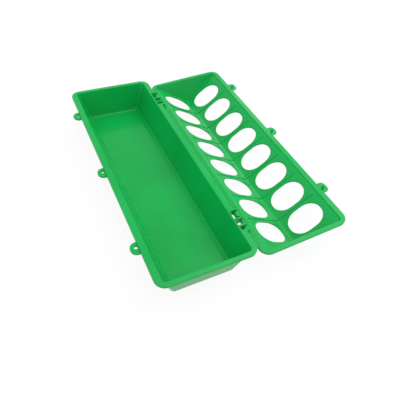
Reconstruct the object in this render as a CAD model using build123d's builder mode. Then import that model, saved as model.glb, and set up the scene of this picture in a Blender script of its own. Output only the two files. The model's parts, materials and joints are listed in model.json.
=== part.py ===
from build123d import *
import os
from math import asin, atan2, cos, degrees, hypot, radians, sin, tan

# Flip-top trough feeder: an open tray, and a gabled grille cover that folds back on two snap hinges.
# Millimetres. The origin is the middle of the tray's base, on the ground. X runs across the tray
# towards the hinges, Y runs along it, and Z is up. The cover is drawn folded open, its inside up
# and its ridge on the ground.

# ---------------------------------------------------------------- driving dimensions
length = 500.0                 # tray rim and cover rim, end to end
width = 168.0                  # tray rim and cover rim, side to side
tray_height = 60.5             # ground to rim top

wall = 2.0                     # tray walls
floor_thickness = 2.4          # tray floor
side_rim = 11.0                # flat rim along the long sides
end_rim = 8.0                  # flat rim across the ends
rim_thickness = 2.2            # rim flange
lip_drop = 4.5                 # rim top to the lip's lower edge
lip_thickness = 1.8            # lip round the rim's outer edge
rim_corner = 18.0              # rim's outer corner, in plan
well_corner = 6.0              # inner corners of tray and cover, in plan
lip_round = 1.0                # rounded outer edge of both rims
floor_side_inset = 35.0        # rim edge to the flat floor, each side
floor_end_inset = 19.0         # rim edge to the flat floor, each end
floor_chamfer = 5.0            # slanted band between the side walls and the floor
floor_round = 4.0              # where the floor meets the walls, inside
base_round = 6.0               # the same edge, outside

cover_step = 1.6               # cover rim down to the top of the slopes, through its flange
ridge_depth = 46.6             # cover rim down to the ridge, inside
ridge_flat = 7.0               # flat strip along the ridge, inside
ridge_end_inset = 24.0         # cover end to the ridge's end, inside
cover_wall = 2.4               # slopes and end walls
rib_height = 1.5               # stiffening ribs above the slopes
rib_thickness = 1.2
rib_end_margin = 5.0           # rim's inner edge to the rib's upper end

hole_count = 8                 # feeding holes in each slope
hole_width = 46.2              # along the cover
hole_reach = 55.0              # across the slope, in plan
hole_corner = 22.0
hole_ridge_margin = 8.5        # cover's middle to the hole's lower end, in plan
first_hole = 50.5              # each cover end to its nearest hole's centre

hinge_out = 3.9                # pin axis beyond the tray rim's edge
hinge_drop = 8.8               # pin axis below the tray rim's top
closed_gap = 0.3               # between the rims when the cover is shut
pin_radius = 2.0
pin_clearance = 0.08           # radial, pin in hook
hook_wall = 2.5                # ring of the hook round its bore
hook_mouth = 3.3               # snap opening of the hook
hook_mouth_angle = 205.0       # its direction, from the cover's outward direction
hook_stalk = 2.4               # stalk of the hook on the cover's rim
arm_nose = 3.0                 # hinge plate beyond the pin's axis
arm_depth = 18.0               # hinge plate below the rim's top
arm_round = 2.5                # rounded outer corners of the plate
hinge_start = 44.7             # rim end to the near edge of the first hinge group
hinge_group_pitch = 358.0      # between the two hinge groups
near_ear = 3.5                 # thickness of the plates, in order along the group
near_bay = 7.5                 # pin bay between the near ear and its arm
arm_thickness = 3.0
open_bay = 11.3                # empty bay between the two arms
far_bay = 16.0                 # pin bay between the second arm and the far ear
far_ear = 3.0
hook_float = 0.5               # side play of the narrow hook
far_hook_width = 10.0
far_hook_gap = 1.0             # wide hook to the far ear
notch_depth = 8.3              # notch in the tray's rim at each hinge group
wedge_reach = 2.3              # small wedge on the tray rim's hinge edge, at mid-length
wedge_length = 13.0

eye_first = 79.5               # each rim end to its nearest latch eye
eye_count = 3
eye_out = 3.4                  # eye and peg centres beyond the rims' edges
eye_radius = 2.9
eye_lug_reach = 12.6
eye_lug_width = 22.0
eye_lug_corner = 10.5
eye_lug_shift = 1.2            # lug's middle from its eye's, towards the near end
eye_lug_drop = 2.3             # rim top to the lug's top
eye_lug_thickness = 3.5
peg_tab_reach = 13.0
peg_tab_width = 22.4
peg_tab_corner = 8.0
peg_tab_shift = 2.5            # tab's middle from its peg's, towards the far end
peg_tab_drop = 0.5             # rim top to the tab's top
peg_tab_thickness = 2.4
peg_base_radius = 2.7
peg_tip_radius = 1.5
peg_height = 8.0
peg_tip_round = 1.0

# ---------------------------------------------------------------- derived places
rim_top = tray_height
rim_under = rim_top - rim_thickness
half_width = width / 2
half_length = length / 2
pan_corner = well_corner + wall
well_x = half_width - side_rim
well_y = half_length - end_rim
floor_x = half_width - floor_side_inset
floor_y = half_length - floor_end_inset
band_top = floor_thickness + floor_chamfer
band_x = floor_x + floor_chamfer
side_draft = (well_x - band_x) / (rim_top - band_top)
end_draft = (well_y - floor_y) / (rim_top - floor_thickness)
band_y = floor_y + end_draft * floor_chamfer

side_skin = wall * hypot(1, side_draft)        # the wall's thickness measured level
end_skin = wall * hypot(1, end_draft)
base_x = floor_x + floor_thickness * (hypot(1, 1) - 1)
base_y = floor_y + end_skin - end_draft * floor_thickness


def wall_outside(z):
    """Half width of the tray over its side walls, at height z."""
    return band_x + side_skin + side_draft * (z - band_top)


turn_z = (band_x + side_skin - side_draft * band_top - base_x) / (1 - side_draft)
turn_x = base_x + turn_z
hinge_x = half_width + hinge_out
hinge_z = rim_top - hinge_drop
hinge_rise = hinge_drop + closed_gap            # pin axis above the open cover's rim

# The slopes of the cover, and the surfaces a wall's thickness outside them.
slope_run = well_x - ridge_flat / 2
slope_drop = ridge_depth - cover_step
slope_angle = atan2(slope_drop, slope_run)
end_run = ridge_end_inset - end_rim
end_angle = atan2(slope_drop, end_run)
outer_depth = ridge_depth + cover_wall
outer_ridge = ridge_flat / 2 + cover_wall * tan(slope_angle / 2)
slope_skin = cover_wall / sin(slope_angle)
end_wall_skin = cover_wall / sin(end_angle)

# The open cover rests on the near edge of its ridge, so its tilt follows from its depth.
rest_x = half_width + hinge_out - outer_ridge
rest_z = outer_depth + hinge_rise
rest_tilt = degrees(atan2(rest_z, rest_x) - asin(hinge_z / hypot(rest_x, rest_z)))
across = Vector(cos(radians(rest_tilt)), 0, sin(radians(rest_tilt)))
above = Vector(-sin(radians(rest_tilt)), 0, cos(radians(rest_tilt)))
cover_middle = Vector(hinge_x, 0, hinge_z) + across * (half_width + hinge_out) - above * hinge_rise
cover = Plane(origin=cover_middle, x_dir=across, z_dir=above)

hole_centre = hole_ridge_margin + hole_reach / 2
hole_pitch = (length - 2 * first_hole) / (hole_count - 1)
hole_places = [-half_length + first_hole + hole_pitch * n for n in range(hole_count)]
rib_places = [y + hole_pitch / 2 for y in hole_places[:-1]]
ridge_end = half_length - ridge_end_inset
group_starts = [-half_length + hinge_start, -half_length + hinge_start + hinge_group_pitch]
near_arm = near_ear + near_bay
far_arm = near_arm + arm_thickness + open_bay
far_ear_place = far_arm + arm_thickness + far_bay
group_length = far_ear_place + far_ear
eye_pitch = (length - 2 * eye_first) / (eye_count - 1)
eye_places = [-half_length + eye_first + eye_pitch * n for n in range(eye_count)]

parts_folder = "parts"
os.makedirs(parts_folder, exist_ok=True)


def finish(piece, name):
    """Label a finished piece and write it."""
    piece.label = name
    export_step(piece, f"{parts_folder}/{name}.step")


def across_plane(y):
    """Upright plane across the tray at y: local x is X and local y is Z."""
    return Plane(origin=(0, y, 0), x_dir=(1, 0, 0), z_dir=(0, -1, 0))


def slope_at(reach):
    """Height of the cover's inside slope, reach from its middle, below its rim."""
    return -ridge_depth + (reach - ridge_flat / 2) * tan(slope_angle)


def cover_section(y):
    """Upright plane across the open cover at y: local x is outward and local y is up from its rim."""
    return Plane(origin=cover_middle + Vector(0, y, 0), x_dir=across, z_dir=(0, -1, 0))


# ---------------------------------------------------------------- tray
# Hollow of the tray, from the flat floor to the rim's top: it trims the pan and the rim alike.
with BuildPart() as tray_well:
    with BuildSketch(Plane.XY.offset(floor_thickness)):
        RectangleRounded(2 * floor_x, 2 * floor_y, well_corner)
    with BuildSketch(Plane.XY.offset(band_top)):
        RectangleRounded(2 * band_x, 2 * band_y, well_corner)
    with BuildSketch(Plane.XY.offset(rim_top)):
        RectangleRounded(2 * well_x, 2 * well_y, well_corner)
    loft(ruled=True)
    fillet(tray_well.faces().sort_by(Axis.Z)[0].edges(), floor_round)

# Walls and floor, up to the underside of the rim.
with BuildPart() as tray_pan:
    with BuildSketch():
        RectangleRounded(2 * base_x, 2 * base_y, pan_corner)
    with BuildSketch(Plane.XY.offset(turn_z)):
        RectangleRounded(2 * turn_x, 2 * (base_y + end_draft * turn_z), pan_corner)
    with BuildSketch(Plane.XY.offset(rim_under)):
        RectangleRounded(2 * wall_outside(rim_under), 2 * (base_y + end_draft * rim_under), pan_corner)
    loft(ruled=True)
    fillet(tray_pan.faces().sort_by(Axis.Z)[0].edges(), base_round)
    add(tray_well.part, mode=Mode.SUBTRACT)
finish(tray_pan.part, "tray_pan")

def hinge_notches():
    """The notches of both hinge groups in the tray rim's edge."""
    for start in group_starts:
        with Locations((half_width - notch_depth, start)):
            Rectangle(notch_depth + wedge_reach, group_length, align=(Align.MIN, Align.MIN))


# Rim: a flat flange, notched for the hinges, with a small wedge on its hinge edge.
with BuildPart() as tray_rim:
    with BuildSketch(Plane.XY.offset(rim_under)):
        RectangleRounded(width, length, rim_corner)
    extrude(amount=rim_thickness)
    fillet(tray_rim.faces().sort_by(Axis.Z)[-1].outer_wire().edges(), lip_round)
    with BuildSketch(Plane.XY.offset(rim_under)):
        with BuildLine():
            Polyline(
                (half_width, 0),
                (half_width + wedge_reach, 0),
                (half_width, wedge_length),
                close=True,
            )
        make_face()
    extrude(amount=rim_thickness - lip_round)
    add(tray_well.part, mode=Mode.SUBTRACT)
    with BuildSketch(Plane.XY.offset(rim_under)):
        hinge_notches()
    extrude(amount=rim_thickness, mode=Mode.SUBTRACT)
finish(tray_rim.part, "tray_rim")

# Lip turned down under the rim's edge, open at the hinge notches.
with BuildPart() as tray_lip:
    with BuildSketch(Plane.XY.offset(rim_top - lip_drop)):
        RectangleRounded(width, length, rim_corner)
        RectangleRounded(
            width - 2 * lip_thickness,
            length - 2 * lip_thickness,
            rim_corner - lip_thickness,
            mode=Mode.SUBTRACT,
        )
        with BuildSketch(mode=Mode.SUBTRACT):
            hinge_notches()
    extrude(amount=lip_drop - rim_thickness)
finish(tray_lip.part, "tray_lip")


def hinge_plate(y, thickness):
    """One upright hinge plate, from the tray's side wall out round the pin's axis."""
    low = rim_top - arm_depth
    with BuildPart() as plate:
        with BuildSketch(across_plane(y)):
            with BuildLine():
                Polyline(
                    (wall_outside(low), low),
                    (hinge_x, hinge_z - arm_nose),
                    (hinge_x + arm_nose, hinge_z - arm_nose),
                    (hinge_x + arm_nose, rim_top),
                    (half_width - notch_depth, rim_top),
                    (half_width - notch_depth, rim_under),
                    (wall_outside(rim_under), rim_under),
                    close=True,
                )
            make_face()
            fillet(vertices().sort_by(Axis.X)[-2:], arm_round)
        extrude(amount=-thickness)
    return plate.part


for start, place in zip(group_starts, ("near", "far")):
    # Two plates on each pin: an ear at the group's end and an arm beside the empty bay.
    with BuildPart() as arms:
        add(hinge_plate(start, near_ear))
        add(hinge_plate(start + near_arm, arm_thickness))
        add(hinge_plate(start + far_arm, arm_thickness))
        add(hinge_plate(start + far_ear_place, far_ear))
    finish(arms.part, f"tray_hinge_plates_{place}")

    # A pin across each of the two closed bays.
    with BuildPart() as pins:
        with Locations(across_plane(start + near_ear)):
            with Locations((hinge_x, hinge_z)):
                Cylinder(pin_radius, near_bay, align=(Align.CENTER, Align.CENTER, Align.MAX))
        with Locations(across_plane(start + far_arm + arm_thickness)):
            with Locations((hinge_x, hinge_z)):
                Cylinder(pin_radius, far_bay, align=(Align.CENTER, Align.CENTER, Align.MAX))
    finish(pins.part, f"hinge_pins_{place}")

# Latch eyes along the rim's outer side: a rounded lug with a hole for a peg of the cover.
for number, y in enumerate(eye_places, 1):
    with BuildPart() as eye:
        with BuildSketch(Plane.XY.offset(rim_top - eye_lug_drop)):
            with Locations((-half_width, y - eye_lug_shift)):
                Rectangle(eye_lug_reach, eye_lug_width, align=(Align.MAX, Align.CENTER))
            fillet(vertices().sort_by(Axis.X)[:2], eye_lug_corner)
            with Locations((-half_width - eye_out, y)):
                Circle(eye_radius, mode=Mode.SUBTRACT)
        extrude(amount=-eye_lug_thickness)
    finish(eye.part, f"latch_eye_{number}")

# ---------------------------------------------------------------- cover, folded open
# Hollow under the cover's slopes, from the ridge's flat strip up through the rim.
with BuildPart() as cover_well:
    with BuildSketch(cover.offset(-ridge_depth)):
        Rectangle(ridge_flat, length - 2 * ridge_end_inset)
    with BuildSketch(cover.offset(-cover_step)):
        Rectangle(2 * well_x, 2 * well_y)
    loft(ruled=True)

# The same slopes a wall's thickness outside, their corners kept within the rim's lip.
with BuildPart() as cover_hull:
    with BuildSketch(cover.offset(-outer_depth)):
        outer_end = half_length - ridge_end_inset + end_wall_skin - cover_wall / tan(end_angle)
        Rectangle(2 * outer_ridge, 2 * outer_end)
    with BuildSketch(cover.offset(-cover_step)):
        Rectangle(2 * (well_x + slope_skin), 2 * (well_y + end_wall_skin))
    loft(ruled=True)
    with BuildSketch(cover.offset(-outer_depth)):
        RectangleRounded(width - 2 * lip_thickness, length - 2 * lip_thickness, rim_corner - lip_thickness)
    extrude(amount=outer_depth - cover_step, mode=Mode.INTERSECT)
    add(cover_well.part, mode=Mode.SUBTRACT)


# The solid mitre between a slope and an end wall stands over the inside hip.
hip_run = slope_run + 2 * slope_skin
hip_rise = hip_run * end_run / slope_run


def slope_region(side):
    """Plan outline of one slope, its half of the ridge strip included."""
    edge = side * ridge_flat / 2
    outer = edge + side * hip_run
    return [(0, -ridge_end), (edge, -ridge_end), (outer, -ridge_end - hip_rise),
            (outer, ridge_end + hip_rise), (edge, ridge_end), (0, ridge_end)]


def end_region(side):
    """Plan outline of one end wall."""
    inner, outer = ridge_flat / 2, ridge_flat / 2 + hip_run
    top, foot = side * (ridge_end + hip_rise), side * ridge_end
    return [(-inner, foot), (inner, foot), (outer, top), (-outer, top)]


for side, name in ((-1, "cover_slope_hinge_side"), (1, "cover_slope_latch_side")):
    with BuildPart() as slope:
        add(cover_hull.part)
        with BuildSketch(cover.offset(-outer_depth)):
            Polygon(*slope_region(side), align=None)
        extrude(amount=outer_depth - cover_step, mode=Mode.INTERSECT)
        # Low ribs between the holes, from the ridge up towards the rim.
        rib_end = well_x - rib_end_margin
        rib_outline = [
            (0, -ridge_depth),
            (side * ridge_flat / 2, -ridge_depth),
            (side * rib_end, slope_at(rib_end)),
            (side * (rib_end - rib_height), slope_at(rib_end - rib_height) + rib_height),
            (side * ridge_flat / 2, -ridge_depth + rib_height),
            (0, -ridge_depth + rib_height),
        ]
        for y in rib_places:
            with BuildSketch(cover_section(y)):
                Polygon(*rib_outline, align=None)
            extrude(amount=rib_thickness / 2, both=True)
        # Feeding holes, straight through along the cover's height.
        with BuildSketch(cover.offset(-outer_depth)):
            with Locations([(side * hole_centre, y) for y in hole_places]):
                RectangleRounded(hole_reach, hole_width, hole_corner)
        extrude(amount=outer_depth, mode=Mode.SUBTRACT)
    finish(slope.part, name)

for side, name in ((-1, "cover_end_near"), (1, "cover_end_far")):
    with BuildPart() as end_wall:
        add(cover_hull.part)
        with BuildSketch(cover.offset(-outer_depth)):
            Polygon(*end_region(side), align=None)
        extrude(amount=outer_depth - cover_step, mode=Mode.INTERSECT)
    finish(end_wall.part, name)

# Rim of the cover: a flat flange round its slopes.
with BuildPart() as cover_rim:
    with BuildSketch(cover.offset(-cover_step)):
        RectangleRounded(width, length, rim_corner)
    extrude(amount=cover_step)
    fillet(cover_rim.faces().sort_by(Axis(cover_middle, above))[-1].outer_wire().edges(), lip_round)
    with BuildSketch(cover.offset(-cover_step)):
        RectangleRounded(2 * well_x, 2 * well_y, well_corner)
    extrude(amount=cover_step, mode=Mode.SUBTRACT)
finish(cover_rim.part, "cover_rim")

# Its lip, turned away from the tray's rim.
with BuildPart() as cover_lip:
    with BuildSketch(cover.offset(-lip_drop)):
        RectangleRounded(width, length, rim_corner)
        RectangleRounded(
            width - 2 * lip_thickness,
            length - 2 * lip_thickness,
            rim_corner - lip_thickness,
            mode=Mode.SUBTRACT,
        )
    extrude(amount=lip_drop - cover_step)
finish(cover_lip.part, "cover_lip")


def hook(y, thickness):
    """One snap hook: a ring open at its mouth, on a stalk that sits on the cover rim's edge."""
    edge = -half_width
    ring_x, ring_y = edge - hinge_out, hinge_rise
    ring = pin_radius + pin_clearance + hook_wall
    with BuildPart() as piece:
        with BuildSketch(cover_section(y)):
            Polygon(
                (edge, -lip_drop),
                (edge, 0),
                (edge + hook_stalk, 0),
                (ring_x + ring, ring_y),
                (ring_x, ring_y),
                (ring_x, ring_y - ring),
                (edge - hook_stalk, -lip_drop),
                align=None,
            )
            with Locations((ring_x, ring_y)):
                Circle(ring)
                Circle(pin_radius + pin_clearance, mode=Mode.SUBTRACT)
                with Locations(Rotation(0, 0, hook_mouth_angle)):
                    Rectangle(2 * ring, hook_mouth, align=(Align.MIN, Align.CENTER), mode=Mode.SUBTRACT)
        extrude(amount=-thickness)
    return piece.part


for start, place in zip(group_starts, ("near", "far")):
    narrow = near_bay - 2 * hook_float
    with BuildPart() as hooks:
        add(hook(start + near_ear + hook_float, narrow))
        add(hook(start + far_ear_place - far_hook_gap - far_hook_width, far_hook_width))
    finish(hooks.part, f"cover_hooks_{place}")

# Latch pegs along the rim's outer side: a rounded tab with an upright tapered peg.
for number, y in enumerate(eye_places, 1):
    with BuildPart(cover.offset(-peg_tab_drop)) as peg:
        with Locations((half_width + eye_out, y)):
            Cone(peg_base_radius, peg_tip_radius, peg_height, align=(Align.CENTER, Align.CENTER, Align.MIN))
        fillet(peg.edges().sort_by(Axis(cover_middle, above))[-1], peg_tip_round)
        with BuildSketch(cover.offset(-peg_tab_drop)):
            with Locations((half_width, y + peg_tab_shift)):
                Rectangle(peg_tab_reach, peg_tab_width, align=(Align.MIN, Align.CENTER))
            fillet(vertices().sort_by(Axis.X)[-2:], peg_tab_corner)
        extrude(amount=-peg_tab_thickness)
    finish(peg.part, f"latch_peg_{number}")
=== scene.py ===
# %% [markdown]
# # Flip-top trough feeder for chicks
# A poultry keeper's trough: a deep open tray for the feed, and a gabled cover with sixteen feeding holes,
# folded open on two snap hinges. The real thing is two thin injection mouldings of one glossy green
# plastic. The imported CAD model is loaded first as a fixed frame, and each piece made here rides on one
# of its two bodies, "tray" or "cover".

import json
import math

import bmesh
import bpy
from mathutils import Matrix, Vector

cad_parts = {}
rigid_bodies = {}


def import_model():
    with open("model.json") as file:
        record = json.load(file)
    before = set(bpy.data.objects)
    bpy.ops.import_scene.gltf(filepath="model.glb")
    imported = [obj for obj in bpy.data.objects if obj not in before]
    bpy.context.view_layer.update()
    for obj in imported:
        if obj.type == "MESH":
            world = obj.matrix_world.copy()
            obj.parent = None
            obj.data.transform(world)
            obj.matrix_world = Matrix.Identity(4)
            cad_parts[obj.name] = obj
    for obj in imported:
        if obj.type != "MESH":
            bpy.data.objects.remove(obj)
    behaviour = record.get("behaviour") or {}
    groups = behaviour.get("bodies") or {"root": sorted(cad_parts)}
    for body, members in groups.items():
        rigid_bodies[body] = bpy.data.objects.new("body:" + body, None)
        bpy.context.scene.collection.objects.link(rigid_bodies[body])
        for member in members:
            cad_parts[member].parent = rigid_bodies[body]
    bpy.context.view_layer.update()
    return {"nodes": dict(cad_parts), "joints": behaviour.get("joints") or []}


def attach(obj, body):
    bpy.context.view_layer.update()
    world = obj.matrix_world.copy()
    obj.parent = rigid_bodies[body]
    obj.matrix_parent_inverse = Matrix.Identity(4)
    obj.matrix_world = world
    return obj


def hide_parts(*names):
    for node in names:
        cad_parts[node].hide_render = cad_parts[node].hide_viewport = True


MM = 0.001
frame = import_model()
nodes = frame["nodes"]
bpy.ops.object.select_all(action="DESELECT")

# %% [markdown]
# ## The camera
# The camera stands high, beyond the tray's latch side, and looks down along the trough. It is set by the
# point it looks at, its direction round that point and its distance, as a tripod is, with a slight roll.

# %% Set up the camera
look_at = Vector((41.5, -121.1, 60.5)) * MM
azimuth, elevation, roll = (math.radians(a) for a in (-31.17, 47.66, 7.6))
distance = 649.0 * MM
back = Vector((
    math.sin(azimuth) * math.cos(elevation),
    -math.cos(azimuth) * math.cos(elevation),
    math.sin(elevation),
))
level = Vector((math.cos(azimuth), math.sin(azimuth), 0))
upright = back.cross(level)
right = math.cos(roll) * level + math.sin(roll) * upright
up = math.cos(roll) * upright - math.sin(roll) * level
camera_data = bpy.data.cameras.new("tripod_camera")
camera_data.sensor_width = 36.0
camera_data.lens = 35.19
camera_data.clip_start, camera_data.clip_end = 0.02, 20.0
camera = bpy.data.objects.new("tripod_camera", camera_data)
bpy.context.scene.collection.objects.link(camera)
stand = Matrix((right, up, back)).transposed().to_4x4()
stand.translation = look_at + back * distance
camera.matrix_world = stand
bpy.context.scene.camera = camera
print("camera at", [round(v, 3) for v in stand.translation], "lens", camera_data.lens)

# %% [markdown]
# ## Sizes of the two mouldings
# The sizes below repeat the CAD model's, in millimetres, so that each new piece lies where the node it
# stands for lies. The ribs and a few small radii differ, and are set where they are used. The joint
# gives the hinge axis and how far the open cover leans, and from them comes the cover's own frame: `u`
# outward across it, `y` along it, and `w` up from its rim.

# %% Write down the sizes
LENGTH, WIDTH, TRAY_HEIGHT = 500.0, 168.0, 60.5
RIM_CORNER, WELL_CORNER = 18.0, 6.0
WELL_X, WELL_Y = 73.0, 242.0            # half sizes of the wells' mouths
LIP_DROP, LIP_THICKNESS, LIP_ROUND = 4.5, 1.8, 1.0
FLOOR, FLOOR_X, FLOOR_Y = 2.4, 49.0, 231.0
BAND = 5.0                              # slanted band beside the floor
SIDE_DRAFT, END_DRAFT = 0.3578, 0.1893
RIDGE_DEPTH, RIDGE_FLAT, RIDGE_END = 46.6, 7.0, 226.0
COVER_STEP, COVER_WALL = 1.6, 2.4
HOLE_REACH, HOLE_WIDTH, HOLE_CORNER, HOLE_MIDDLE, HOLE_PITCH, HOLES = 55.0, 46.2, 22.0, 36.0, 57.0, 8
HINGE_OUT, HINGE_RISE = 3.9, 9.1

joint = frame["joints"][0]
lean = math.radians(180.0 - joint["range_deg"][1])
hinge = Vector(joint["pos_m"]) / MM
outward = Vector((math.cos(lean), 0, math.sin(lean)))
above = Vector((-math.sin(lean), 0, math.cos(lean)))
cover_middle = hinge + outward * (WIDTH / 2 + HINGE_OUT) - above * HINGE_RISE
cover_place = Matrix((outward, Vector((0, 1, 0)), above)).transposed().to_4x4()
cover_place.translation = cover_middle
print("cover leans", round(math.degrees(lean), 2), "degrees, middle", [round(v, 2) for v in cover_middle])

# %% [markdown]
# ## A helper for moulded walls
# Both rims and the tray are rounded rectangles stacked in height. A moulder would call them the
# stations of a loft. Each station starts as a plane, gets its size, and has its corners rounded by a
# vertex bevel. Bridging one station to the next makes the wall between them, and the first and last are
# capped or bridged to each other. This gives clean strips of quads, with a true radius at every corner.

# %% Helper: select by place, and stack rounded stations into a shell
def only(test, faces=False):
    """In edit mode, select just the vertices (or faces) that pass the test."""
    bpy.ops.mesh.select_mode(type="FACE" if faces else "VERT")
    bpy.ops.mesh.select_all(action="DESELECT")
    mesh = bmesh.from_edit_mesh(bpy.context.edit_object.data)
    mesh.verts.index_update()
    for part in mesh.faces if faces else mesh.verts:
        if test(part):
            part.select_set(True)
    if not faces:
        mesh.select_flush(True)
    bmesh.update_edit_mesh(bpy.context.edit_object.data)


def rounded_outline(half_x, half_y, corner, height, steps=8):
    """Add one closed rounded rectangle of edges, centred on the long axis of the shell."""
    bpy.ops.mesh.primitive_plane_add(size=2, location=(0, 0, height))
    bpy.ops.transform.resize(value=(half_x, half_y, 1), center_override=(0, 0, height))
    bpy.ops.mesh.bevel(offset=corner, segments=steps, affect="VERTICES", clamp_overlap=False)
    bpy.ops.mesh.delete(type="ONLY_FACE")


HANG = 20                               # how far above the last outline each new one is bridged


def station_shell(name, stations, ring=False):
    """Loft rounded rectangles (half x, half y, corner, height), in mm, into one closed shell.

    Each outline is bridged while it hangs clear above the last, and is then moved to its own height,
    because a bridge between two outlines in one plane can twist.
    """
    bpy.ops.object.select_all(action="DESELECT")
    bpy.ops.mesh.primitive_plane_add(size=2)
    shell = bpy.context.object
    shell.name = shell.data.name = name
    bpy.ops.object.mode_set(mode="EDIT")
    bpy.ops.mesh.delete(type="VERT")
    starts = []
    height_before = 0.0
    for half_x, half_y, corner, height in stations:
        bpy.ops.mesh.select_all(action="DESELECT")
        starts.append(len(bmesh.from_edit_mesh(shell.data).verts))
        rounded_outline(half_x, half_y, corner, height_before + HANG)
        if len(starts) > 1:
            below = starts[-2]
            only(lambda v: v.index >= below)
            bpy.ops.mesh.bridge_edge_loops()
        here = starts[-1]
        only(lambda v: v.index >= here)
        bpy.ops.transform.translate(value=(0, 0, height - height_before - HANG))
        height_before = height
    first_end, last = starts[1], starts[-1]
    if ring:
        only(lambda v: v.index < first_end or v.index >= last)
        bpy.ops.mesh.bridge_edge_loops()
    else:
        only(lambda v: v.index < first_end)
        bpy.ops.mesh.edge_face_add()
        only(lambda v: v.index >= last)
        bpy.ops.mesh.edge_face_add()
    bpy.ops.mesh.select_all(action="SELECT")
    bpy.ops.mesh.normals_make_consistent(inside=False)
    bpy.ops.object.mode_set(mode="OBJECT")
    return shell


def rounding(centre, radius, start, end, steps=4):
    """Points (across, height) on an arc, for the small radii of a moulding."""
    angles = [math.radians(start + (end - start) * n / steps) for n in range(steps + 1)]
    return [(centre[0] + radius * math.cos(a), centre[1] + radius * math.sin(a)) for a in angles]


# %% [markdown]
# ## A helper for finishing a piece
# A moulded part has no knife edges: the tool's corners leave each edge with a radius of a few tenths of a
# millimetre, and that is what catches the light. So each piece gets a narrow Bevel on its sharp edges,
# smooth shading up to an angle, and Weighted Normal, which keeps the broad faces looking flat. It is
# then scaled from millimetres to metres, put in its place, and has its transforms applied.

# %% Helper: cutters, modifiers, copies and place
def pick(piece):
    """Select this piece alone and make it the active one."""
    bpy.ops.object.select_all(action="DESELECT")
    piece.select_set(True)
    bpy.context.view_layer.objects.active = piece


def copy_of(piece, name):
    """A second piece with its own mesh."""
    made = piece.copy()
    made.data = piece.data.copy()
    made.name = made.data.name = name
    bpy.context.scene.collection.objects.link(made)
    return made


def apply_modifier(piece, kind, **settings):
    pick(piece)
    bpy.ops.object.modifier_add(type=kind)
    modifier = piece.modifiers[-1]
    for key, value in settings.items():
        setattr(modifier, key, value)
    bpy.ops.object.modifier_apply(modifier=modifier.name)


def block(centre, size, name="block"):
    """A box by its middle and its size, in mm, with its size applied."""
    bpy.ops.object.select_all(action="DESELECT")
    bpy.ops.mesh.primitive_cube_add(size=1, location=centre)
    made = bpy.context.object
    made.name = made.data.name = name
    made.scale = size
    bpy.ops.object.transform_apply(location=True, rotation=True, scale=True)
    return made


def finish_piece(piece, body, place=None, edge=0.35, stands_for=(), in_metres=False):
    if not in_metres:
        piece.matrix_world = Matrix.Scale(MM, 4) @ (place or Matrix.Identity(4))
        pick(piece)
        bpy.ops.object.transform_apply(location=True, rotation=True, scale=True)
    if edge:
        apply_modifier(
            piece, "BEVEL", width=edge * MM, segments=2, limit_method="ANGLE", angle_limit=math.radians(35)
        )
    pick(piece)
    bpy.ops.object.shade_smooth_by_angle(angle=math.radians(38))
    apply_modifier(piece, "WEIGHTED_NORMAL", keep_sharp=True)
    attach(piece, body)
    if stands_for:
        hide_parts(*stands_for)
    print(piece.name, "has", len(piece.data.polygons), "faces")
    return piece


# %% [markdown]
# ## The tray
# The tray is a boat-like pan with a flat base, a slanted band along each side of its floor, and walls
# that lean out so that it drops off the mould. Its rim turns outward and then down into a short lip,
# which stiffens it. Going once round its section - base, outer wall, flange, lip, rim and inner wall -
# gives the stations, and the two leans and the fillets set each station's size.

# %% Tray: work out its stations
LEDGE = 0.8                             # where the band's insert met the wall in the mould
# Each round edge is (its middle across, its middle's height, its radius, the height it ends at).
INNER_SIDE_ROUND = (48.586, 3.4, 1, 2.693)
INNER_END_ROUND = (227.69, 6.4, 4, 5.657)
OUTER_SIDE_ROUND = (47.509, 6, 6, 1.757)
OUTER_END_ROUND = (224.3, 10, 10, 8.14)
OUTER_BAND_X, OUTER_BAND_TOP = 49.994, 5.4225
OUTER_WALL_X, OUTER_WALL_Y = 56.124, 232.581


def on_round(edge, z):
    middle, height, radius, _ = edge
    return middle + math.sqrt(radius ** 2 - (height - z) ** 2)


def inner_half_x(z):
    if z < INNER_SIDE_ROUND[3]:
        return on_round(INNER_SIDE_ROUND, z)
    if z < FLOOR + BAND:
        return FLOOR_X + z - FLOOR
    foot, top = FLOOR_X + BAND + LEDGE, WELL_X
    return foot + (top - foot) * (z - FLOOR - BAND) / (TRAY_HEIGHT - FLOOR - BAND)


def inner_half_y(z):
    return on_round(INNER_END_ROUND, z) if z < INNER_END_ROUND[3] else FLOOR_Y + END_DRAFT * (z - FLOOR)


def outer_half_x(z):
    if z < OUTER_SIDE_ROUND[3]:
        return on_round(OUTER_SIDE_ROUND, z)
    if z < OUTER_BAND_TOP:
        return OUTER_BAND_X + z
    return OUTER_WALL_X + SIDE_DRAFT * (z - FLOOR - BAND)


def outer_half_y(z):
    return on_round(OUTER_END_ROUND, z) if z < OUTER_END_ROUND[3] else OUTER_WALL_Y + END_DRAFT * z


RIM_UNDER, TRAY_RIM_ROUND = 58.3, 0.8
half_x, half_y = WIDTH / 2, LENGTH / 2
lip_in = (half_x - LIP_THICKNESS, half_y - LIP_THICKNESS, RIM_CORNER - LIP_THICKNESS)
tray_stations = []
for z in (0.0, 0.12, 0.45, 1.0, 1.757, 3.0, 4.5, 5.4225, 6.8, 8.2, 20.0, 40.0, RIM_UNDER):
    corner = 8.0 if z > 5.4 else 5.0 + 0.55 * z
    tray_stations.append((outer_half_x(z), outer_half_y(z), corner, z))
tray_stations += [(*lip_in, RIM_UNDER), (*lip_in, TRAY_HEIGHT - LIP_DROP)]
tray_stations += [(half_x, half_y, RIM_CORNER, TRAY_HEIGHT - LIP_DROP)]
for out, z in rounding((-LIP_ROUND, TRAY_HEIGHT - LIP_ROUND), LIP_ROUND, 0, 90):
    tray_stations.append((half_x + out, half_y + out, RIM_CORNER + out, z))
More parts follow.
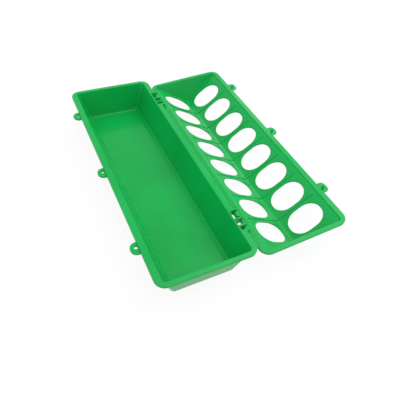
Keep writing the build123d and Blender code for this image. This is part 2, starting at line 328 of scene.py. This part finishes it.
for out, z in rounding((TRAY_RIM_ROUND, TRAY_HEIGHT - TRAY_RIM_ROUND), TRAY_RIM_ROUND, 90, 165):
    tray_stations.append((WELL_X + out, WELL_Y + out, WELL_CORNER + out, z))
for z in (40.0, 20.0, FLOOR + BAND, FLOOR + BAND - 0.02, 5.657, 4.9, 4.2, 3.572, 3.1, 2.693, 2.5, FLOOR):
    corner = 6.0 if z > 5.6 else 3.5 + 0.77 * (z - FLOOR)
    tray_stations.append((inner_half_x(z), inner_half_y(z), corner, z))
print(len(tray_stations), "stations round the tray's section")

# %% [markdown]
# The hinge side of the rim is cut back in two places, where the hooks of the cover reach in, and a small
# moulded stop stands between them at mid-length. The cuts are made with blocks and a Boolean, as a
# toolmaker's insert would leave them, and the stop is a block whose top is drawn in to a wedge.

# %% Tray: loft it, cut the hinge notches, add the stop
tray_shell = station_shell("tray_shell", tray_stations)
GROUP_LENGTH, GROUP_STARTS = 47.3, (-205.3, 152.7)
for start in GROUP_STARTS:
    cutter = block((84.0, start + GROUP_LENGTH / 2, 60.0), (16.6, GROUP_LENGTH, 9.0), "notch_cutter")
    apply_modifier(tray_shell, "BOOLEAN", object=cutter, operation="DIFFERENCE", solver="EXACT")
    bpy.data.objects.remove(cutter)
finish_piece(tray_shell, "tray", stands_for=("tray_pan", "tray_rim", "tray_lip"))

stop = block((85.0, 6.5, 58.9), (2.6, 13.0, 1.2), "hinge_edge_stop")
bpy.ops.object.mode_set(mode="EDIT")
only(lambda f: f.normal.z > 0.9, faces=True)
bpy.ops.transform.resize(value=(0.5, 0.9, 1), center_override=(83.8, 6.5, 59.5))
bpy.ops.object.mode_set(mode="OBJECT")
finish_piece(stop, "tray", edge=0.2)

# %% [markdown]
# The floor of the mould was built from three inserts, and their joints left two hair lines across the
# tray's floor, which run on up the wall on the hinge side. Each is a strip a fraction of a millimetre
# proud: a narrow plane on the floor, extruded on up the band and the wall, and then lifted.

# %% Tray: the two hair lines of the mould
for number, y in ((1, -84.0), (2, 87.0)):
    bpy.ops.object.select_all(action="DESELECT")
    bpy.ops.mesh.primitive_plane_add(size=2)
    line = bpy.context.object
    line.name = line.data.name = f"mould_line_{number}"
    bpy.ops.object.mode_set(mode="EDIT")
    bpy.ops.transform.resize(value=(FLOOR_X, 0.3, 1), center_override=(0, 0, 0))
    bpy.ops.transform.translate(value=(0, y, FLOOR - 0.1))
    run = WELL_X - FLOOR_X - BAND - LEDGE
    steps_up = ((0, BAND, BAND), (BAND, LEDGE, 0), (BAND + LEDGE, run - 0.6, TRAY_HEIGHT - 10))
    for reach, lift, climb in steps_up:
        only(lambda v: abs(v.co.x - FLOOR_X - reach) < 0.01)
        bpy.ops.mesh.extrude_edges_move(TRANSFORM_OT_translate={"value": (lift, 0, climb)})
    bpy.ops.mesh.select_all(action="SELECT")
    bpy.ops.mesh.extrude_region_move(TRANSFORM_OT_translate={"value": (-0.2, 0, 0.22)})
    bpy.ops.mesh.select_all(action="SELECT")
    bpy.ops.mesh.normals_make_consistent(inside=False)
    bpy.ops.object.mode_set(mode="OBJECT")
    finish_piece(line, "tray", edge=0)

# %% [markdown]
# ## The cover's rim
# The cover is the second moulding. Its rim matches the tray's, so that the two close lip to lip. It is
# lofted flat, in the cover's own frame, as a closed ring of stations, and is then leant into place.

# %% Cover: loft its rim and lip
COVER_RIM_ROUND, RING_OVERLAP = 1.3, 0.8
rim_stations = []
for out, w in rounding((COVER_RIM_ROUND, -COVER_RIM_ROUND), COVER_RIM_ROUND, 165, 90):
    rim_stations.append((WELL_X + out, WELL_Y + out, WELL_CORNER + out, w))
for out, w in rounding((-LIP_ROUND, -LIP_ROUND), LIP_ROUND, 90, 0):
    rim_stations.append((half_x + out, half_y + out, RIM_CORNER + out, w))
rim_stations += [
    (half_x, half_y, RIM_CORNER, -LIP_DROP),
    (*lip_in, -LIP_DROP),
    (*lip_in, -COVER_STEP),
    (WELL_X, WELL_Y, WELL_CORNER, -COVER_STEP - RING_OVERLAP),
]
cover_rim_and_lip = station_shell("cover_rim_and_lip", rim_stations, ring=True)
finish_piece(cover_rim_and_lip, "cover", cover_place, stands_for=("cover_rim", "cover_lip"))

# %% [markdown]
# ## The cover's grille
# Each slope carries eight feeding holes, with bars between them. One bay, a rectangle round one rounded
# hole, is modelled flat: an outline of edges for the hole, another for the bay with as many corners,
# and a bridge between the two. The bay is copied eight times along the slope, because the holes are
# alike, and the ends are slid out to where the sloping end walls meet them.

# %% Grille: one bay, eight times
TUCK = 0.6                              # how far the grille's top edge is let into the rim
CLIMB = RIDGE_DEPTH - COVER_STEP + TUCK
SLOPE_RUN, SLOPE_RISE = 69.5, 45.0      # from the ridge's edge to the rim's, without the tuck
BAY_EDGE, RIDGE_HALF = SLOPE_RUN * CLIMB / SLOPE_RISE, RIDGE_FLAT / 2
bpy.ops.object.select_all(action="DESELECT")
bpy.ops.mesh.primitive_plane_add(size=2)
cover_grille = bpy.context.object
cover_grille.name = cover_grille.data.name = "cover_grille"
bpy.ops.object.mode_set(mode="EDIT")
bpy.ops.mesh.delete(type="VERT")
rounded_outline(HOLE_REACH / 2, HOLE_WIDTH / 2, HOLE_CORNER, HANG, steps=10)
bpy.ops.mesh.select_all(action="SELECT")
bpy.ops.transform.translate(value=(HOLE_MIDDLE, 0, 0))
bpy.ops.mesh.select_all(action="DESELECT")
middle = RIDGE_HALF + BAY_EDGE / 2
bpy.ops.mesh.primitive_plane_add(size=2, location=(middle, 0, 0))
bpy.ops.transform.resize(value=(BAY_EDGE / 2, HOLE_PITCH / 2, 1), center_override=(middle, 0, 0))
bpy.ops.mesh.delete(type="ONLY_FACE")
bpy.ops.mesh.select_mode(type="EDGE")
bpy.ops.mesh.subdivide(number_cuts=10)
bpy.ops.mesh.select_all(action="SELECT")
bpy.ops.mesh.bridge_edge_loops()
only(lambda v: v.co.z > 1)
bpy.ops.transform.translate(value=(0, 0, -HANG))
bpy.ops.mesh.select_all(action="SELECT")
bpy.ops.transform.translate(value=(0, -HOLE_PITCH * (HOLES - 1) / 2, 0))
bpy.ops.object.mode_set(mode="OBJECT")
apply_modifier(
    cover_grille, "ARRAY", count=HOLES, use_relative_offset=False, use_constant_offset=True,
    constant_offset_displace=(0, HOLE_PITCH, 0), use_merge_vertices=True, merge_threshold=0.01,
)
print("one slope has", len(cover_grille.data.polygons), "faces round", HOLES, "holes")

# %% [markdown]
# The slope is now stretched by the secant of its pitch and turned down about the ridge, so that seen
# from above the holes keep their shape. A mirrored copy makes the second slope, and a strip between
# them makes the ridge. The end walls are single flat faces.

# %% Grille: slide the ends, pitch the slope, mirror, close the ridge and ends
PITCH = math.atan2(CLIMB, BAY_EDGE)
END_RUN = (WELL_Y - RIDGE_END) * CLIMB / SLOPE_RISE
bpy.ops.object.mode_set(mode="EDIT")
for side in (-1, 1):
    only(lambda v: abs(v.co.y - side * HOLE_PITCH * HOLES / 2) < 0.01)
    mesh = bmesh.from_edit_mesh(cover_grille.data)
    bpy.ops.transform.translate(value=(0, side * (RIDGE_END - HOLE_PITCH * HOLES / 2), 0))
    far_row = RIDGE_END * side
    for u in sorted({round(v.co.x, 3) for v in mesh.verts if abs(v.co.y - far_row) < 0.01}):
        only(lambda v: abs(v.co.y - far_row) < 0.01 and abs(v.co.x - u) < 0.01)
        bpy.ops.transform.translate(value=(0, side * END_RUN * (u - RIDGE_HALF) / BAY_EDGE, 0))
bpy.ops.mesh.select_all(action="SELECT")
ridge_edge = (RIDGE_HALF, 0, 0)
bpy.ops.transform.resize(value=(1 / math.cos(PITCH), 1, 1), center_override=ridge_edge)
bpy.ops.transform.rotate(value=PITCH, orient_axis="Y", center_override=ridge_edge)
top = max((v.co.z for v in bmesh.from_edit_mesh(cover_grille.data).verts), key=abs)
if top < 0:
    bpy.ops.transform.rotate(value=-2 * PITCH, orient_axis="Y", center_override=ridge_edge)
bpy.ops.transform.translate(value=(0, 0, -RIDGE_DEPTH))
bpy.ops.mesh.duplicate()
bpy.ops.transform.resize(value=(-1, 1, 1), center_override=(0, 0, 0))
only(lambda v: abs(abs(v.co.x) - RIDGE_HALF) < 0.01)
bpy.ops.mesh.bridge_edge_loops()
for side in (-1, 1):
    only(lambda v: side * v.co.y > RIDGE_END - 0.01
         and abs(side * v.co.y - RIDGE_END - END_RUN * (v.co.z + RIDGE_DEPTH) / CLIMB) < 0.02)
    bpy.ops.mesh.edge_face_add()
bpy.ops.mesh.select_all(action="SELECT")
bpy.ops.mesh.remove_doubles(threshold=0.005)
bpy.ops.mesh.normals_make_consistent(inside=False)
mesh = bmesh.from_edit_mesh(cover_grille.data)
heights = [v.co.z for v in mesh.verts]
print("grille from", round(min(heights), 2), "to", round(max(heights), 2), "with", len(mesh.faces), "faces")

# %% [markdown]
# Now the sheet gets its wall. The whole sheet is extruded straight down, because the mould opens along
# that line and so the walls of the holes are upright. Then the new underside is moved a little at its
# ridge, its top edges and its ends, so that each wall has its own thickness.

# %% Grille: give it thickness
UPRIGHT = COVER_WALL / math.cos(PITCH)
SLOPE_SKIN, END_SKIN, OUTER_RIDGE = 4.4158, 2.547, 4.209
bpy.ops.mesh.extrude_region_move(TRANSFORM_OT_translate={"value": (0, 0, -UPRIGHT)})
mesh = bmesh.from_edit_mesh(cover_grille.data)
mesh.verts.index_update()
under = {v.index for v in mesh.verts if v.select}
end_lift = END_RUN / CLIMB


def on_end(v):
    run = (v.co.z + UPRIGHT + RIDGE_DEPTH) * end_lift
    return abs(abs(v.co.y) - RIDGE_END - run) < 0.02


def sign(value):
    return 1 if value > 0 else -1


underside = [v for v in mesh.verts if v.index in under]
top_edge = TUCK - COVER_STEP - UPRIGHT
ends = {v.index: sign(v.co.y) for v in underside if on_end(v)}
tops = {v.index: sign(v.co.x) for v in underside if v.co.z > top_edge - 0.01}
ridges = {v.index: sign(v.co.x) for v in underside if abs(v.co.x) < RIDGE_HALF + 0.01}
for side in (-1, 1):
    only(lambda v: ends.get(v.index) == side)
    bpy.ops.transform.translate(value=(0, side * (END_SKIN - UPRIGHT * end_lift), 0))
    only(lambda v: ends.get(v.index) == side and v.index in tops)
    bpy.ops.transform.translate(value=(0, side * UPRIGHT * end_lift, 0))
    only(lambda v: tops.get(v.index) == side)
    bpy.ops.transform.translate(value=(side * SLOPE_SKIN, 0, UPRIGHT))
    only(lambda v: ridges.get(v.index) == side)
    bpy.ops.transform.translate(value=(side * (OUTER_RIDGE - RIDGE_HALF), 0, UPRIGHT - COVER_WALL))
bpy.ops.mesh.select_all(action="SELECT")
bpy.ops.mesh.normals_make_consistent(inside=False)
bpy.ops.object.mode_set(mode="OBJECT")
grille_nodes = ("cover_slope_hinge_side", "cover_slope_latch_side", "cover_end_near", "cover_end_far")
finish_piece(cover_grille, "cover", cover_place, edge=0.5, stands_for=grille_nodes)

# %% [markdown]
# ## The stiffening ribs
# A low rib runs over the ridge between each pair of holes, where the bars are weakest. One rib starts as
# a flat strip on the ridge. Its two ends are extruded up the slopes and the strip is raised to its
# height, a little lower and thinner than in the CAD model. The other six are copies along the ridge.

# %% Ribs: one, then its copies
RIB_HEIGHT, RIB_THICKNESS, RIB_END = 1.3, 1.1, WELL_X - 5.0
RIB_SUNK = 0.3                          # its foot lies this far inside the wall
rise = math.tan(PITCH) * (RIB_END - RIDGE_HALF)
bpy.ops.object.select_all(action="DESELECT")
bpy.ops.mesh.primitive_plane_add(size=1, location=(0, 0, -RIDGE_DEPTH - RIB_SUNK))
rib = bpy.context.object
rib.name = rib.data.name = "ridge_rib_1"
bpy.ops.object.mode_set(mode="EDIT")
bpy.ops.transform.resize(value=(RIDGE_FLAT, RIB_THICKNESS, 1), center_override=(0, 0, 0))
bpy.ops.object.mode_set(mode="OBJECT")
bpy.ops.object.transform_apply(location=True, rotation=True, scale=True)
bpy.ops.object.mode_set(mode="EDIT")
for side in (-1, 1):
    only(lambda v: abs(v.co.x - side * RIDGE_HALF) < 0.01)
    along = (side * (RIB_END - RIDGE_HALF), 0, rise)
    bpy.ops.mesh.extrude_edges_move(TRANSFORM_OT_translate={"value": along})
bpy.ops.mesh.select_all(action="SELECT")
bpy.ops.mesh.extrude_region_move(TRANSFORM_OT_translate={"value": (0, 0, RIB_HEIGHT + RIB_SUNK)})
for side in (-1, 1):
    only(lambda v: side * v.co.x > RIB_END - 0.01 and v.co.z > rise - RIDGE_DEPTH + RIB_SUNK)
    bpy.ops.transform.translate(value=(-side * RIB_HEIGHT, 0, -RIB_HEIGHT * math.tan(PITCH)))
bpy.ops.mesh.select_all(action="SELECT")
bpy.ops.mesh.normals_make_consistent(inside=False)
bpy.ops.object.mode_set(mode="OBJECT")
ribs = [rib] + [copy_of(rib, f"ridge_rib_{number}") for number in range(2, HOLES)]
for number, made in enumerate(ribs, 1):
    shift = Matrix.Translation((0, HOLE_PITCH * (number - HOLES / 2), 0))
    finish_piece(made, "cover", cover_place @ shift, edge=0.25)

# %% [markdown]
# ## Ejector marks
# Round pins push each moulding out of its tool, and each leaves a shallow ring on the rim. One ring is a
# disc whose top is inset and pressed in, and it is copied to three more places. It stands so little
# proud that two rings which face each other still clear the gap between the shut rims.

# %% Ejector marks: one, then its copies
MARK_RADIUS, MARK_DEPTH, MARK_RING = 3.3, 0.16, 0.5
bpy.ops.object.select_all(action="DESELECT")
bpy.ops.mesh.primitive_cylinder_add(vertices=32, radius=MARK_RADIUS, depth=MARK_DEPTH)
ring = bpy.context.object
ring.name = ring.data.name = "ejector_mark_1"
bpy.ops.object.mode_set(mode="EDIT")
only(lambda f: f.normal.z > 0.9, faces=True)
bpy.ops.mesh.inset(thickness=MARK_RING)
bpy.ops.transform.translate(value=(0, 0, -0.06))
bpy.ops.object.mode_set(mode="OBJECT")
mark_places = (
    ("tray", Matrix.Translation((-78.6, -161.6, TRAY_HEIGHT))),
    ("cover", cover_place @ Matrix.Translation((-78.4, -220.4, 0))),
    ("cover", cover_place @ Matrix.Translation((78.4, -161.0, 0))),
    ("cover", cover_place @ Matrix.Translation((78.4, 89.0, 0))),
)
rings = [ring] + [copy_of(ring, f"ejector_mark_{n}") for n in range(2, len(mark_places) + 1)]
for made, (body, place) in zip(rings, mark_places):
    finish_piece(made, body, place, edge=0)

# %% [markdown]
# ## Hinges and latches
# The hinge plates, pins, hooks, eyes and pegs are moulded in one with the tray or the cover. The packed
# solids have the right shape but razor edges. Each is copied, its loose triangles are merged and its
# flat faces dissolved back into one, and then its edges are rounded as a mould leaves them.

# %% Round the edges of the small moulded parts
small_parts = {
    "tray_hinge_plates_near": ("tray", 0.35), "tray_hinge_plates_far": ("tray", 0.35),
    "hinge_pins_near": ("tray", 0.2), "hinge_pins_far": ("tray", 0.2),
    "latch_eye_1": ("tray", 0.35), "latch_eye_2": ("tray", 0.35), "latch_eye_3": ("tray", 0.35),
    "cover_hooks_near": ("cover", 0.25), "cover_hooks_far": ("cover", 0.25),
    "latch_peg_1": ("cover", 0.3), "latch_peg_2": ("cover", 0.3), "latch_peg_3": ("cover", 0.3),
}
for node, (body, edge) in small_parts.items():
    piece = copy_of(nodes[node], node + "_rounded")
    piece.parent = None
    pick(piece)
    bpy.ops.object.mode_set(mode="EDIT")
    bpy.ops.mesh.select_all(action="SELECT")
    bpy.ops.mesh.remove_doubles(threshold=0.002 * MM)
    bpy.ops.mesh.dissolve_limited(angle_limit=math.radians(2))
    bpy.ops.mesh.normals_make_consistent(inside=False)
    bpy.ops.object.mode_set(mode="OBJECT")
    finish_piece(piece, body, edge=edge, stands_for=(node,), in_metres=True)

# %% [markdown]
# ## One green plastic
# Both mouldings are one glossy polypropylene, coloured right through. What makes it look real is small:
# the colour is a little uneven where the melt cooled at different speeds, the gloss is broken by a very
# fine ripple and by hair-thin handling marks, and the rounded edges carry a painted highlight, a paler
# and slightly rougher green in patches. Each effect is a node group with named values, so that it can be
# reused.

# %% Groups for tone, ripple, handling marks and painted edge highlights
def node_group(name, inputs, outputs):
    group = bpy.data.node_groups.new(name, "ShaderNodeTree")
    for label, kind, value in inputs:
        socket = group.interface.new_socket(name=label, in_out="INPUT", socket_type=kind)
        if value is not None:
            socket.default_value = value
    for label, kind in outputs:
        group.interface.new_socket(name=label, in_out="OUTPUT", socket_type=kind)
    return group, group.nodes.new("NodeGroupInput"), group.nodes.new("NodeGroupOutput")


def noise(tree, vector, scale, detail=4.0, roughness=0.5, distortion=0.0):
    made = tree.nodes.new("ShaderNodeTexNoise")
    made.inputs["Scale"].default_value = scale
    made.inputs["Detail"].default_value = detail
    made.inputs["Roughness"].default_value = roughness
    made.inputs["Distortion"].default_value = distortion
    tree.links.new(vector, made.inputs["Vector"])
    return made.outputs["Fac"]


def spread(tree, value, low, high, out_low=0.0, out_high=1.0):
    made = tree.nodes.new("ShaderNodeMapRange")
    for socket, number in (("From Min", low), ("From Max", high), ("To Min", out_low), ("To Max", out_high)):
        made.inputs[socket].default_value = number
    tree.links.new(value, made.inputs["Value"])
    return made.outputs["Result"]


def combine(tree, kind, first, second):
    made = tree.nodes.new("ShaderNodeMath")
    made.operation = kind
    for number, part in enumerate((first, second)):
        if isinstance(part, (int, float)):
            made.inputs[number].default_value = part
        else:
            tree.links.new(part, made.inputs[number])
    return made.outputs[0]


def blend_colours(tree, share, first, second):
    made = tree.nodes.new("ShaderNodeMix")
    made.data_type = "RGBA"
    for number, part in ((6, first), (7, second)):
        if isinstance(part, tuple):
            made.inputs[number].default_value = part
        else:
            tree.links.new(part, made.inputs[number])
    tree.links.new(share, made.inputs[0])
    return made.outputs[2]


tone, tone_in, tone_out = node_group(
    "cooled_melt_tone",
    [("Vector", "NodeSocketVector", None), ("Patch Scale", "NodeSocketFloat", 9.0)],
    [("Patches", "NodeSocketFloat"), ("Flow", "NodeSocketFloat")],
)
patches = tone.nodes.new("ShaderNodeTexNoise")
patches.inputs["Detail"].default_value = 3.0
tone.links.new(tone_in.outputs["Vector"], patches.inputs["Vector"])
tone.links.new(tone_in.outputs["Patch Scale"], patches.inputs["Scale"])
tone.links.new(spread(tone, patches.outputs["Fac"], 0.3, 0.7), tone_out.inputs["Patches"])
stretch = tone.nodes.new("ShaderNodeMapping")
stretch.inputs["Scale"].default_value = (40.0, 3.0, 40.0)
tone.links.new(tone_in.outputs["Vector"], stretch.inputs["Vector"])
tone.links.new(spread(tone, noise(tone, stretch.outputs[0], 1.0, 3.0), 0.35, 0.7), tone_out.inputs["Flow"])

marks, marks_in, marks_out = node_group(
    "handling_marks",
    [("Vector", "NodeSocketVector", None), ("Amount", "NodeSocketFloat", 0.5)],
    [("Mark", "NodeSocketFloat")],
)
layers = []
for turn, along, across in ((0.35, 14.0, 520.0), (-0.6, 11.0, 430.0), (1.2, 9.0, 610.0)):
    lay = marks.nodes.new("ShaderNodeMapping")
    lay.inputs["Rotation"].default_value = (turn * 0.4, turn * 0.3, turn)
    lay.inputs["Scale"].default_value = (across, along, across * 0.6)
    marks.links.new(marks_in.outputs["Vector"], lay.inputs["Vector"])
    hair = spread(marks, noise(marks, lay.outputs[0], 1.0, 2.0, 0.5, 0.2), 0.69, 0.74)
    where = spread(marks, noise(marks, marks_in.outputs["Vector"], 22.0 + 9 * turn, 2.0), 0.5, 0.68)
    layers.append(combine(marks, "MULTIPLY", hair, where))
joined = combine(marks, "MAXIMUM", combine(marks, "MAXIMUM", layers[0], layers[1]), layers[2])
marks.links.new(combine(marks, "MULTIPLY", joined, marks_in.outputs["Amount"]), marks_out.inputs["Mark"])

# Painted edge highlight: a mask for the rounded edges, where a paler colour is laid as if they caught the
# light.
edge_sheen, edge_sheen_in, edge_sheen_out = node_group(
    "painted_edge_highlight",
    [("Vector", "NodeSocketVector", None), ("Amount", "NodeSocketFloat", 0.5)],
    [("Edge Highlight", "NodeSocketFloat")],
)
# The mask rises where the Bevel node's normal turns away from the face's own normal, at edges, and noise
# breaks it into patches.
bent = edge_sheen.nodes.new("ShaderNodeBevel")
bent.samples = 4
bent.inputs["Radius"].default_value = 0.0011
true_face = edge_sheen.nodes.new("ShaderNodeNewGeometry")
turned = edge_sheen.nodes.new("ShaderNodeVectorMath")
turned.operation = "DOT_PRODUCT"
edge_sheen.links.new(bent.outputs["Normal"], turned.inputs[0])
edge_sheen.links.new(true_face.outputs["Normal"], turned.inputs[1])
edge_mask = spread(edge_sheen, turned.outputs["Value"], 0.995, 0.86)
patchy = spread(edge_sheen, noise(edge_sheen, edge_sheen_in.outputs["Vector"], 60.0, 4.0, 0.6), 0.42, 0.62)
kept = combine(edge_sheen, "MULTIPLY", combine(edge_sheen, "MULTIPLY", edge_mask, patchy), edge_sheen_in.outputs["Amount"])
edge_sheen.links.new(kept, edge_sheen_out.inputs["Edge Highlight"])
print("groups:", [g.name for g in bpy.data.node_groups])

# %% [markdown]
# The plastic itself is one Principled shader. The groups feed its colour, its roughness and, through a
# Bump node, its surface. How strongly it bends and reflects light is the same all over, so those two
# values are set on the shader's own sockets.

# %% Glossy green polypropylene
GREEN = (0.0050, 0.464, 0.092, 1.0)
GREEN_DEEP = (0.0028, 0.396, 0.072, 1.0)
# Paler green for the handling marks and for the painted highlight along the rounded edges.
GREEN_SCUFF_AND_HIGHLIGHT = (0.030, 0.54, 0.15, 1.0)


def glossy_green(name, green=GREEN, deep=GREEN_DEEP, gloss=0.16, edge_highlight_amount=0.5, marks_amount=0.6):
    material = bpy.data.materials.new(name)
    material.use_nodes = True
    tree = material.node_tree
    shader = tree.nodes["Principled BSDF"]
    shader.inputs["IOR"].default_value = 1.5
    shader.inputs["Specular IOR Level"].default_value = 0.25
    where = tree.nodes.new("ShaderNodeTexCoord").outputs["Object"]

    def use(group, **values):
        made = tree.nodes.new("ShaderNodeGroup")
        made.node_tree = group
        tree.links.new(where, made.inputs["Vector"])
        for socket, value in values.items():
            made.inputs[socket.replace("_", " ")].default_value = value
        return made

    melt = use(tone, Patch_Scale=9.0)
    scuffs = use(marks, Amount=marks_amount)
    edge_highlight_node = use(edge_sheen, Amount=edge_highlight_amount)
    body = blend_colours(tree, melt.outputs["Patches"], deep, green)
    streaked = blend_colours(
        tree, combine(tree, "MULTIPLY", melt.outputs["Flow"], 0.10), body, (0.010, 0.54, 0.12, 1.0)
    )
    # The painted edge highlight and the handling marks both pull the colour towards the paler green and make
    # it a little rougher.
    scuffs_and_edge_highlight = combine(
        tree, "MAXIMUM", edge_highlight_node.outputs["Edge Highlight"], combine(tree, "MULTIPLY", scuffs.outputs["Mark"], 0.35)
    )
    tree.links.new(blend_colours(tree, scuffs_and_edge_highlight, streaked, GREEN_SCUFF_AND_HIGHLIGHT), shader.inputs["Base Color"])
    smear = spread(tree, noise(tree, where, 34.0, 5.0, 0.55), 0.35, 0.7, gloss, gloss + 0.10)
    duller = combine(tree, "MULTIPLY", scuffs_and_edge_highlight, 0.30)
    tree.links.new(combine(tree, "ADD", smear, duller), shader.inputs["Roughness"])
    ripple = noise(tree, where, 55.0, 2.0)
    grain = combine(tree, "MULTIPLY", noise(tree, where, 1400.0, 2.0), 0.06)
    cut = combine(tree, "MULTIPLY", scuffs.outputs["Mark"], -0.12)
    height = combine(tree, "ADD", combine(tree, "ADD", ripple, grain), cut)
    bump = tree.nodes.new("ShaderNodeBump")
    bump.inputs["Strength"].default_value = 0.35
    bump.inputs["Distance"].default_value = 0.0006
    tree.links.new(height, bump.inputs["Height"])
    tree.links.new(bump.outputs["Normal"], shader.inputs["Normal"])
    return material


green_plastic = glossy_green("glossy_green_polypropylene")
for piece in bpy.data.objects:
    if piece.type == "MESH":
        piece.data.materials.clear()
        piece.data.materials.append(green_plastic)

# %% [markdown]
# ## The floor it stands on
# A plain white sheet. What the camera and the gloss of the plastic see of it is held at white, and the
# rest of its light is what a white sheet gives back, so that the soft shadow under the feeder stays.

# %% White sheet
bpy.ops.object.select_all(action="DESELECT")
bpy.ops.mesh.primitive_grid_add(size=6, x_subdivisions=4, y_subdivisions=4, location=(0, 0, -0.0004))
sheet = bpy.context.object
sheet.name = "white_sheet"
sheet_white = bpy.data.materials.new("sheet_white")
sheet_white.use_nodes = True
tree = sheet_white.node_tree
tree.nodes.clear()
output = tree.nodes.new("ShaderNodeOutputMaterial")
paper = tree.nodes.new("ShaderNodeBsdfDiffuse")
paper.inputs["Color"].default_value = (0.66, 0.66, 0.66, 1)
lit_white = tree.nodes.new("ShaderNodeEmission")
lit_white.inputs["Strength"].default_value = 1.07
path = tree.nodes.new("ShaderNodeLightPath")
seen = combine(tree, "ADD", path.outputs["Is Camera Ray"], path.outputs["Is Glossy Ray"])
seen = combine(tree, "ADD", seen, path.outputs["Is Transmission Ray"])
both = tree.nodes.new("ShaderNodeMixShader")
tree.links.new(combine(tree, "MULTIPLY", seen, 0.85), both.inputs[0])
tree.links.new(paper.outputs[0], both.inputs[1])
tree.links.new(lit_white.outputs[0], both.inputs[2])
tree.links.new(both.outputs[0], output.inputs["Surface"])
sheet.data.materials.append(sheet_white)
print("sheet", [round(v, 2) for v in sheet.dimensions])

# %% [markdown]
# ## The light
# A pale even surround, a large soft box overhead and a small one beyond the hinges, as in a light tent.
# The small one is low, so that it draws bright lines along the rounded edges without veiling the floor.

# %% Light
world = bpy.data.worlds.new("light_tent")
bpy.context.scene.world = world
world.use_nodes = True
surround = world.node_tree.nodes["Background"]
surround.inputs["Color"].default_value = (1, 1, 1, 1)
sight = world.node_tree.nodes.new("ShaderNodeLightPath")
level_up = spread(world.node_tree, sight.outputs["Is Camera Ray"], 0.0, 1.0, 0.80, 1.0)
world.node_tree.links.new(level_up, surround.inputs["Strength"])


def soft_box(name, place, size, energy):
    """A rectangular area lamp that faces the feeder."""
    lamp = bpy.data.lights.new(name, "AREA")
    lamp.shape = "RECTANGLE"
    lamp.size, lamp.size_y = size
    lamp.energy = energy
    stand = bpy.data.objects.new(name, lamp)
    stand.location = place
    stand.rotation_euler = Vector(place).to_track_quat("Z", "Y").to_euler()
    bpy.context.scene.collection.objects.link(stand)
    print(name, energy, "W at", place)


soft_box("overhead_soft_box", (0.75, 0.0, 1.8), (1.5, 2.0), 13.0)
soft_box("far_soft_box", (1.45, 1.25, 1.05), (1.0, 0.7), 6.0)
bpy.context.scene.view_settings.view_transform = "Standard"
